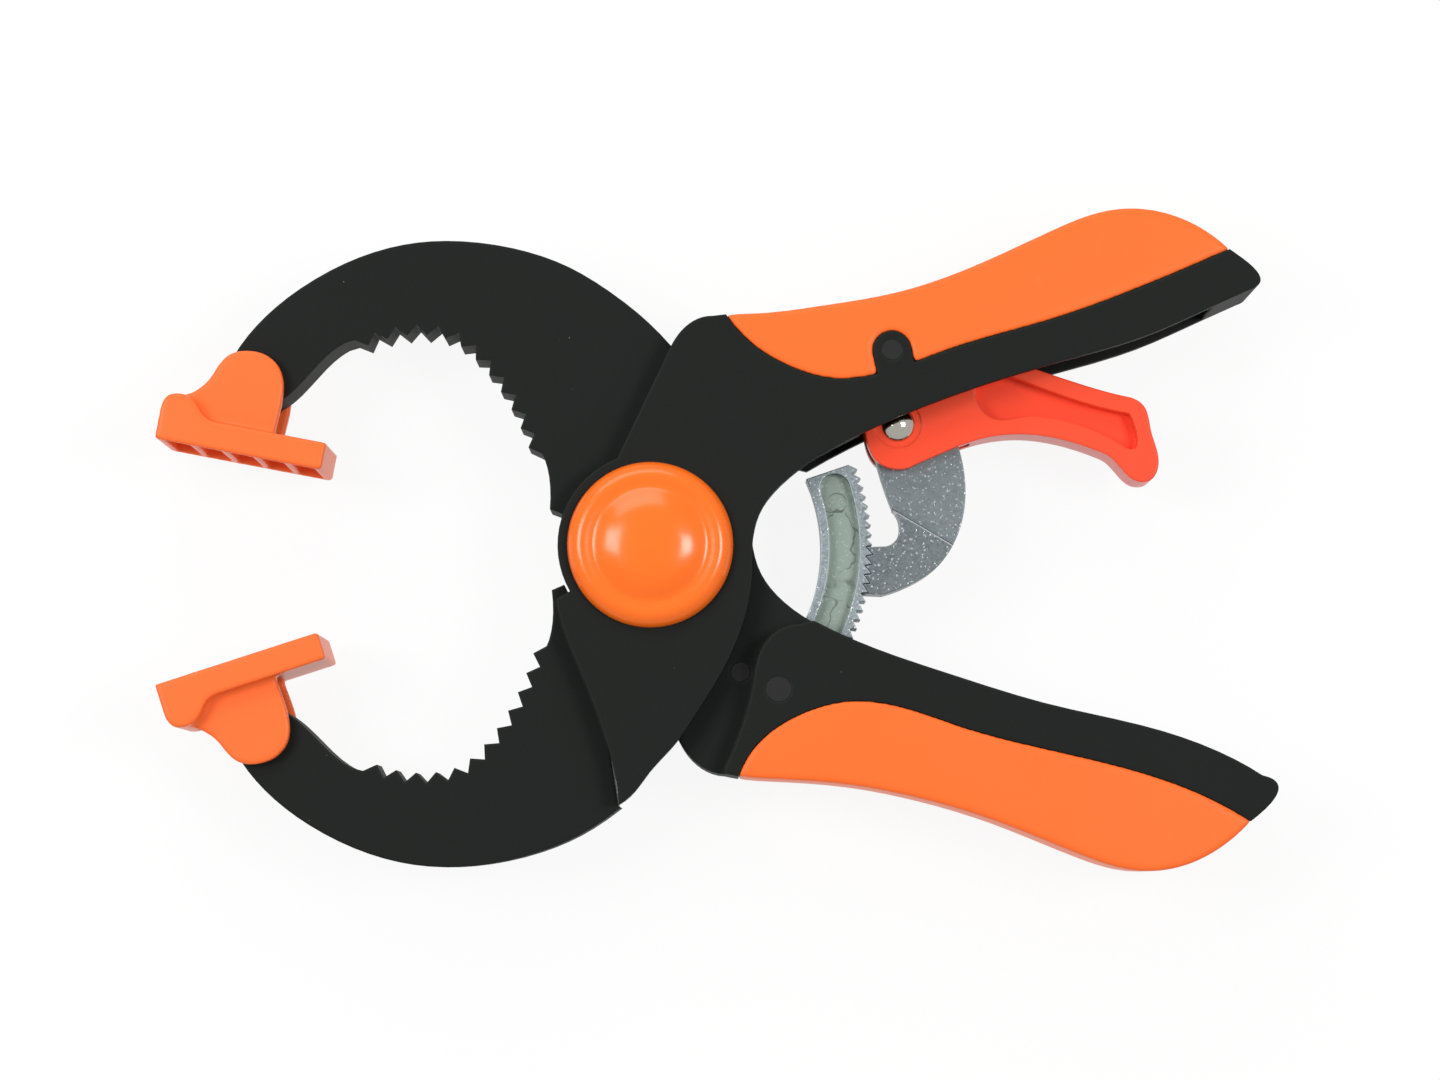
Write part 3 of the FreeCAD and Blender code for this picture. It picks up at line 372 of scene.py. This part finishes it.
def body_plastic():
    """Black moulding: fine grain, pale dust specks, slight clouding and a painted highlight that lightens the edges.
    """
    s = settings()
    tint = s.colours.body
    finish = Finish("body_plastic")
    clouds = finish.noise(BODY_CLOUD, 3.0)
    grain = finish.noise(s.finish.grain, 2.0, 0.6)
    dust = 1 - finish.cells(DUST_SPACING).above(0.030, 0.02)
    few = finish.noise(DUST_PATCH, 0.0).above(0.50, 0.02)
    base = finish.mix(clouds, shade(tint, 0.85), shade(tint, 1.18))
    base = finish.mix(grain.above(0.62, 0.1) * 0.35, base, shade(tint, 2.2))
    base = finish.mix(dust * few * 0.7, base, DUST_TINT)
    # painted highlight: the body's rounded edges made much lighter in the colour
    base = finish.mix(finish.painted_edge_highlight(s.finish.body_edge) * 0.8, base, shade(tint, 4.5))
    finish.set(
        Base_Color=base,
        Roughness=s.finish.body_roughness + (clouds - 0.5) * 0.10 + (grain - 0.5) * 0.12,
        Specular_IOR_Level=0.20,
        Normal=finish.bump(grain, BODY_RELIEF, finish.rounded(s.finish.body_edge)),
    )
    return finish.material


def soft_plastic(name, tint, roughness, wear, edge=MOULD_EDGE):
    """Coloured satin moulding with slight clouding, a few rubbed marks and a painted highlight that lightens the
    edges.
    """
    finish = Finish(name)
    clouds = finish.noise(MOULD_CLOUD, 2.0)
    grain = finish.noise(MOULD_GRAIN, 2.0)
    rubs = finish.noise(RUB_SIZE, 4.0, 0.65, 1.5).above(0.66, 0.08)
    base = finish.mix(clouds, shade(tint, 0.97), shade(tint, 1.04))
    base = finish.mix(rubs * wear, base, shade(tint, 1.25))
    # painted highlight: the rounded edges made lighter in the colour
    base = finish.mix(finish.painted_edge_highlight(edge) * 0.25, base, shade(tint, 1.5))
    finish.set(
        Base_Color=base,
        Roughness=roughness + (clouds - 0.5) * 0.08 + rubs * 0.08,
        Specular_IOR_Level=0.24,
        Normal=finish.bump(grain, MOULD_RELIEF, finish.rounded(edge)),
    )
    return finish.material


def gloss_plastic(name, tint):
    """Polished moulding with hairline scratches and a faint ripple."""
    finish = Finish(name)
    clouds = finish.noise(GLOSS_CLOUD, 2.0)
    lines = finish.node(
        "ShaderNodeMapping", {}, {"Vector": finish.place, "Rotation": (0.0, 0.0, 0.9), "Scale": (1.0, 12.0, 1.0)}
    )
    scratches = finish.noise(SCRATCH_LENGTH, 5.0, 0.7, 0.0, lines).above(0.63, 0.05)
    finish.set(
        Base_Color=finish.mix(clouds, shade(tint, 0.97), shade(tint, 1.05)),
        Roughness=0.20 + scratches * 0.08 + clouds * 0.05,
        Specular_IOR_Level=0.45,
        Coat_Weight=0.12,
        Coat_Roughness=0.15,
        Normal=finish.bump(finish.noise(GLOSS_RIPPLE, 2.0), GLOSS_RELIEF),
    )
    return finish.material


def creased(finish, base, tint, start, end):
    """A colour with a dark line of painted shade from start to end, a bright painted highlight along one side and
    paler beyond the other.
    """
    (x1, y1), (x2, y2) = start, end
    run = math.hypot(x2 - x1, y2 - y1)
    across = ((finish.part(finish.place, 0) - PIVOT.x - x1) * ((y2 - y1) / run)
              - (finish.part(finish.place, 1) - PIVOT.y - y1) * ((x2 - x1) / run))
    # painted shade along the step, then a painted highlight on its edge
    shade_line = across.above(-CREASE_HALF, 0.00008) * (1 - across.above(CREASE_HALF, 0.00008))
    crease_highlight = across.above(CREASE_HIGHLIGHT[0], 0.00008) * (1 - across.above(CREASE_HIGHLIGHT[1], 0.0001))
    below = 1 - across.above(0.0, 0.0001)
    base = finish.mix(below * 0.35, base, shade(tint, 1.5))
    base = finish.mix(shade_line * 0.9, base, CREASE_SHADE_TINT)
    return finish.mix(crease_highlight * 0.5, base, CREASE_HIGHLIGHT_TINT)


def flow_cracks(finish):
    """1 along the fine bent lines in a casting's skin."""
    waves = finish.node("ShaderNodeTexNoise", {}, {"Vector": finish.place, "Scale": CRACK_WAVES}, 1)
    bend = {0: waves, 1: (CRACK_BEND, CRACK_BEND, 0.0), 2: finish.place}
    bent = finish.node("ShaderNodeVectorMath", {"operation": "MULTIPLY_ADD"}, bend)
    return 1 - finish.cells(CRACK_SPACING, "DISTANCE_TO_EDGE", "Distance", bent).above(0.018, 0.02)


def zinc_casting(name, pale, channelled=False, crease=None):
    """Blasted zinc: small facets in cool greys, a few of them painted as bright glints, edges lightened by a painted
    highlight, and a greenish cracked floor where it is channelled.
    """
    s = settings()
    tint = shade(s.colours.casting, pale)
    finish = Finish(name)
    lots = finish.cells(s.finish.spangle, "F1", "Color")
    facets = finish.part(lots, 0)
    # painted glints: the few facets whose colour is set near white
    painted_glints = finish.part(lots, 1).above(0.94, 0.02)
    patches = finish.noise(ZINC_PATCH, 3.0, 0.6)
    base = finish.mix(facets, shade(tint, 0.82), shade(tint, 1.15))
    base = finish.mix(patches.above(0.5, 0.5) * 0.35, base, shade(tint, 1.45))
    base = finish.mix(painted_glints * 0.8, base, PAINTED_GLINT_TINT)
    # painted highlight: the rounded edges made lighter in the colour
    base = finish.mix(finish.painted_edge_highlight(s.finish.cast_edge) * 0.6, base, shade(tint, 2.6))
    roughness = 0.30 + facets * 0.12 + patches * 0.10 - painted_glints * 0.15
    height = facets
    if crease:
        base = creased(finish, base, tint, *crease)
    if channelled:
        cracks = flow_cracks(finish)
        depth = finish.distance(2, PIVOT.z)
        low, high = CHANNEL_FLOOR
        floor = (1 - depth.above(high, 0.0003)) * depth.above(low, 0.0002)
        base = finish.mix(floor * 0.8, base, CHANNEL_TINT)
        base = finish.mix(cracks * floor * patches.above(0.50, 0.1) * 0.6, base, CRACK_TINT)
        roughness = roughness + floor * 0.15
        height = facets - cracks * floor
    finish.set(
        Base_Color=base,
        Metallic=0.82,
        Roughness=roughness,
        Normal=finish.bump(height, ZINC_RELIEF, finish.rounded(s.finish.cast_edge)),
    )
    return finish.material


def metal(name, tint, roughness, streaks, metallic=1.0, edge=METAL_EDGE):
    """Turned or drawn metal with fine rings, stacked in the pivot's direction."""
    finish = Finish(name)
    rings = finish.node("ShaderNodeMapping", {}, {"Vector": finish.place, "Scale": (1.0, 1.0, 30.0)})
    lines = finish.noise(METAL_STREAK, 3.0, 0.6, 0.0, rings)
    finish.set(
        Base_Color=finish.mix(lines, shade(tint, 0.85), shade(tint, 1.12)),
        Metallic=metallic,
        Roughness=roughness + (lines - 0.5) * streaks,
        Specular_IOR_Level=0.3,
        Normal=finish.bump(lines, METAL_RELIEF, finish.rounded(edge)),
    )
    return finish.material


def pale(name, glow):
    """White for the camera and for reflections, with a trace of the shadow that falls on it."""
    finish = Finish(name)
    finish.set(Base_Color=(0.9, 0.9, 0.9), Roughness=0.9, Specular_IOR_Level=0.1)
    rays = ("Is Camera Ray", "Is Glossy Ray", "Is Transmission Ray")
    seen = sum(finish.node("ShaderNodeLightPath", {}, {}, ray) for ray in rays).clipped()
    plain = Amount(finish, finish.shader.outputs[0])
    white = finish.node("ShaderNodeEmission", {}, {"Color": (1.0, 1.0, 1.0, 1.0)})
    mixed = finish.node("ShaderNodeMixShader", {}, {0: seen * glow, 1: plain, 2: white})
    finish.tree.links.new(mixed.socket, finish.output.inputs[0])
    return finish.material


def dress(material, *nodes):
    """Gives CAD nodes this material."""
    for name in nodes:
        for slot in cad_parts[name].material_slots:
            slot.material = material


# Pieces and groups of pieces


def loose_copy(node):
    """A CAD node's mesh with its points merged."""
    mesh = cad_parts[node].data.copy()
    merged = bmesh.new()
    merged.from_mesh(mesh)
    bmesh.ops.remove_doubles(merged, verts=merged.verts, dist=1e-6)
    merged.to_mesh(mesh)
    merged.free()
    return mesh


def wound(name, node, material):
    """A coil spring in place of its CAD node."""
    return placed(name, loose_copy(node), node, material)


def placed(name, mesh, node, material):
    """A smooth piece of one material that stands for a CAD node."""
    mesh.materials.clear()
    mesh.materials.append(material)
    mesh.shade_smooth()
    piece = bpy.data.objects.new(name, mesh)
    bpy.context.scene.collection.objects.link(piece)
    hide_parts(node)
    return piece


def curve(points, steps=6):
    """The points joined by a Catmull-Rom curve: each stretch is a cubic whose slope at a point is half the way
    between the point's two neighbours."""
    before = np.vstack([points[:1], points[:-2]])
    a, b = points[:-1], points[1:]
    after = np.vstack([points[2:], points[-1:]])
    t = (np.arange(steps) / steps)[None, :, None]
    before, a, b, after = (p[:, None, :] for p in (before, a, b, after))
    way = 0.5 * (2 * a + (b - before) * t + (2 * before - 5 * a + 4 * b - after) * t ** 2
                 + (3 * a - before - 3 * b + after) * t ** 3)
    return np.vstack([way.reshape(-1, 2), points[-1:]])


def prisms(stacks):
    """One mesh of closed prisms, each a flat outline (x, y) carried straight from one height to another. Its points
    are the outline at both heights, and its walls join each edge of the one to the same edge of the other."""
    verts, faces = [], []
    for outline, low, high in stacks:
        n, start = len(outline), sum(len(v) for v in verts)
        x, y = outline.T
        if np.sum(x * np.roll(y, -1) - np.roll(x, -1) * y) < 0:
            x, y = x[::-1], y[::-1]
        verts.append(np.vstack([np.column_stack([x, y, np.full(n, h)]) for h in (low, high)]))
        i = np.arange(n)
        j = np.roll(i, -1)
        faces += [tuple(start + i[::-1]), tuple(start + n + i)]
        faces += [tuple(w) for w in (start + np.column_stack([i, j, j + n, i + n])).tolist()]
    mesh = bpy.data.meshes.new("prisms")
    mesh.from_pydata(np.vstack(verts).tolist(), [], faces)
    return mesh


def box_outline(left, right, low, high):
    """A rectangle's corners."""
    return np.array([(left, low), (right, low), (right, high), (left, high)])


def pad_mesh(hinge, turned, flipped):
    """A swivel pad: bar with its nose, ribbed underside and two cheeks, turned about its hinge."""
    left, right = PAD_TOP[0, 0], PAD_TOP[-1, 0]
    roof = PAD_TOP[0, 1] + PAD_OVERLAP
    top = np.vstack([PAD_TOP[:1], curve(PAD_TOP[1:PAD_NOSE_END]), PAD_TOP[PAD_NOSE_END:]])
    cheek = np.vstack([PAD_CHEEK[:1], curve(PAD_CHEEK[1:])])
    stacks = [(top, -PAD_WIDE, PAD_WIDE), (cheek, CHEEK_IN, CHEEK_OUT), (cheek, -CHEEK_OUT, -CHEEK_IN)]
    cell = (right - left - 2 * PAD_WALL - (PAD_CELL_COUNT - 1) * PAD_RIB) / PAD_CELL_COUNT
    walls = [(left, PAD_WALL), (right - PAD_WALL, PAD_WALL)]
    walls += [(left + PAD_WALL + cell + i * (cell + PAD_RIB), PAD_RIB) for i in range(PAD_CELL_COUNT - 1)]
    stacks += [(box_outline(x, x + wide, PAD_BOTTOM, roof), -PAD_WIDE, PAD_WIDE) for x, wide in walls]
    for low in (-PAD_WIDE, PAD_WIDE - PAD_WALL):
        stacks.append((box_outline(left, right, PAD_BOTTOM, roof), low, low + PAD_WALL))
    mesh = prisms(stacks)
    place = Matrix.Translation(hinge) @ Matrix.Rotation(turned, 4, "Z")
    mesh.transform(place @ Matrix.Rotation(math.pi if flipped else 0.0, 4, "X"))
    return mesh


def evened(mesh):
    """The mesh's solid laid on an even grid, with overlapping prisms joined."""
    block = bpy.data.objects.new("block", mesh)
    bpy.context.scene.collection.objects.link(block)
    grid = block.modifiers.new("grid", "REMESH")
    grid.mode = "VOXEL"
    grid.voxel_size = settings().finish.soft_voxel
    bpy.context.view_layer.update()
    even = bpy.data.meshes.new_from_object(block.evaluated_get(bpy.context.evaluated_depsgraph_get()))
    bpy.data.objects.remove(block)
    return even


def soften(name, node, body, mesh, passes, material):
    """A soft moulding in place of a CAD node. On an even grid, each point moves half way to the mean of its
    neighbours, a few times over, which rounds every edge and leaves the flats where they are."""
    even = evened(mesh)
    even.name = name
    points = np.empty(len(even.vertices) * 3)
    even.vertices.foreach_get("co", points)
    points = points.reshape(-1, 3)
    pairs = np.empty(len(even.edges) * 2, dtype=int)
    even.edges.foreach_get("vertices", pairs)
    a, b = pairs.reshape(-1, 2).T
    count = np.bincount(a, minlength=len(points)) + np.bincount(b, minlength=len(points))
    for _ in range(passes):
        total = np.stack([
            np.bincount(a, points[b, i], len(points)) + np.bincount(b, points[a, i], len(points)) for i in range(3)
        ], axis=1)
        points += (total / count[:, None] - points) * 0.5
    even.vertices.foreach_set("co", points.ravel())
    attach(placed(name, even, node, material), body)


class CLAMP_OT_halves(bpy.types.Operator):
    """Finish of the two black halves"""

    bl_idname = "clamp.halves"
    bl_label = "Halves"

    def execute(self, context):
        dress(body_plastic(), "front_arm", "rear_arm")
        return {"FINISHED"}


class CLAMP_OT_grips(bpy.types.Operator):
    """The soft grips, rounded"""

    bl_idname = "clamp.grips"
    bl_label = "Grips"

    def execute(self, context):
        s = settings()
        rubber = soft_plastic("grip_rubber", s.colours.grip, s.finish.grip_roughness, 0.10)
        soften("upper_grip_cover", "upper_grip", "front_half", loose_copy("upper_grip"), GRIP_PASSES, rubber)
        soften("lower_grip_cover", "lower_grip", "rear_half", loose_copy("lower_grip"), GRIP_PASSES, rubber)
        return {"FINISHED"}


class CLAMP_OT_pads(bpy.types.Operator):
    """The swivel pads, rounded"""

    bl_idname = "clamp.pads"
    bl_label = "Pads"

    def execute(self, context):
        s = settings()
        rubber = soft_plastic("pad_rubber", s.colours.pad, 0.34, 0.05)
        upper = pad_mesh(middle_of("upper_pad_pin"), UPPER_PAD_TURN, False)
        lower = pad_mesh(middle_of("lower_pad_pin"), LOWER_PAD_TURN, True)
        soften("upper_jaw_pad_cover", "upper_jaw_pad", "upper_pad", upper, PAD_PASSES, rubber)
        soften("lower_jaw_pad_cover", "lower_jaw_pad", "lower_pad", lower, PAD_PASSES, rubber)
        return {"FINISHED"}


class CLAMP_OT_caps(bpy.types.Operator):
    """Glossy covers of the pivot"""

    bl_idname = "clamp.caps"
    bl_label = "Caps"

    def execute(self, context):
        dress(gloss_plastic("cap_gloss", settings().colours.cap), "front_cap", "rear_cap")
        return {"FINISHED"}


class CLAMP_OT_ratchet(bpy.types.Operator):
    """Cast sector and pawl, the trigger and its rivet"""

    bl_idname = "clamp.ratchet"
    bl_label = "Ratchet"

    def execute(self, context):
        dress(zinc_casting("sector_casting", 1.25, channelled=True), "ratchet_sector")
        dress(zinc_casting("pawl_casting", 0.72, crease=PAWL_CREASE), "pawl")
        dress(soft_plastic("trigger_plastic", settings().colours.trigger, 0.30, 0.04), "trigger")
        dress(metal("rivet_bright", RIVET_TINT, 0.10, 0.04), "trigger_rivet")
        return {"FINISHED"}


class CLAMP_OT_hardware(bpy.types.Operator):
    """Pins, bolt, nut, washers, bush and springs"""

    bl_idname = "clamp.hardware"
    bl_label = "Hardware"

    def execute(self, context):
        dress(metal("pin_dark", PIN_TINT, 0.5, 0.10, metallic=0.0, edge=PIN_EDGE),
              "sector_pin_outer", "sector_pin_inner", "pawl_pivot_pin")
        dress(metal("steel_bright", STEEL_TINT, 0.28, 0.12),
              "pivot_bolt", "pivot_nut", "front_washer", "rear_washer", "pivot_bush",
              "upper_pad_pin", "lower_pad_pin")
        wire = metal("spring_wire", WIRE_TINT, 0.30, 0.10)
        opener = wound("opening_coil", "torsion_spring", wire)
        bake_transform(opener)
        returner = wound("return_coil", "pawl_spring", wire)
        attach(returner, "front_half")
        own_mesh(returner)
        return {"FINISHED"}


class CLAMP_OT_studio(bpy.types.Operator):
    """Pale floor, soft lamps and the camera"""

    bl_idname = "clamp.studio"
    bl_label = "Studio"

    def execute(self, context):
        s = settings().studio
        scene = context.scene
        view = bpy.data.cameras.new("camera")
        view.lens = s.lens
        view.sensor_width = 36.0
        view.clip_start, view.clip_end = 0.02, 20.0
        camera = bpy.data.objects.new("camera", view)
        camera.location = (PIVOT.x + s.along, PIVOT.y - s.back, PIVOT.z + s.height)
        camera.rotation_euler = (s.tilt, 0.0, 0.0)
        scene.collection.objects.link(camera)
        scene.camera = camera

        spots = box_outline(-FLOOR_HALF, FLOOR_HALF, -FLOOR_HALF, FLOOR_HALF)
        sheet = bpy.data.meshes.new("floor")
        sheet.from_pydata([(x, y, FLOOR_HEIGHT) for x, y in spots], [], [(0, 1, 2, 3)])
        floor = bpy.data.objects.new("floor", sheet)
        scene.collection.objects.link(floor)
        sheet.materials.append(pale("floor_pale", FLOOR_GLOW))

        for name, place, size, share in LAMPS:
            self.lamp(name, place, size, s.lamp_power * share)

        world = bpy.data.worlds.new("studio")
        world.use_nodes = True
        backdrop = world.node_tree.nodes["Background"]
        backdrop.inputs[0].default_value = (1.0, 1.0, 1.0, 1.0)
        backdrop.inputs[1].default_value = WORLD_STRENGTH
        scene.world = world
        scene.view_settings.view_transform = "Standard"
        return {"FINISHED"}

    def lamp(self, name, place, size, power):
        """A rectangular soft lamp that points at the clamp."""
        light = bpy.data.lights.new(name, "AREA")
        light.shape = "RECTANGLE"
        light.size, light.size_y = size
        light.energy = power
        lamp = bpy.data.objects.new(name, light)
        lamp.location = Vector(place)
        lamp.rotation_euler = (Vector(place) * -1).to_track_quat("-Z", "Y").to_euler()
        bpy.context.scene.collection.objects.link(lamp)


class CLAMP_PT_panel(bpy.types.Panel):
    """Lists the pieces and their settings"""

    bl_idname = "CLAMP_PT_panel"
    bl_label = "Ratcheting spring clamp"
    bl_space_type = "VIEW_3D"
    bl_region_type = "UI"
    bl_category = "Clamp"

    def draw(self, context):
        column = self.layout.column()
        for step in STEPS:
            column.operator(step.bl_idname)
        s = settings()
        for group in (s.colours, s.finish, s.studio):
            for name in group.__annotations__:
                column.prop(group, name)


STEPS = (
    CLAMP_OT_studio,
    CLAMP_OT_halves,
    CLAMP_OT_grips,
    CLAMP_OT_pads,
    CLAMP_OT_caps,
    CLAMP_OT_ratchet,
    CLAMP_OT_hardware,
)
CLASSES = (ClampColours, ClampFinish, ClampStudio, ClampSettings) + STEPS + (CLAMP_PT_panel,)


def register():
    for item in CLASSES:
        bpy.utils.register_class(item)
    bpy.types.Scene.clamp = PointerProperty(type=ClampSettings)


def unregister():
    del bpy.types.Scene.clamp
    for item in reversed(CLASSES):
        bpy.utils.unregister_class(item)


def main():
    """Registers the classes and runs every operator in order."""
    register()
    for step in STEPS:
        group, name = step.bl_idname.split(".")
        getattr(getattr(bpy.ops, group), name)()
    bpy.context.view_layer.update()


if __name__ == "__main__":
    main()
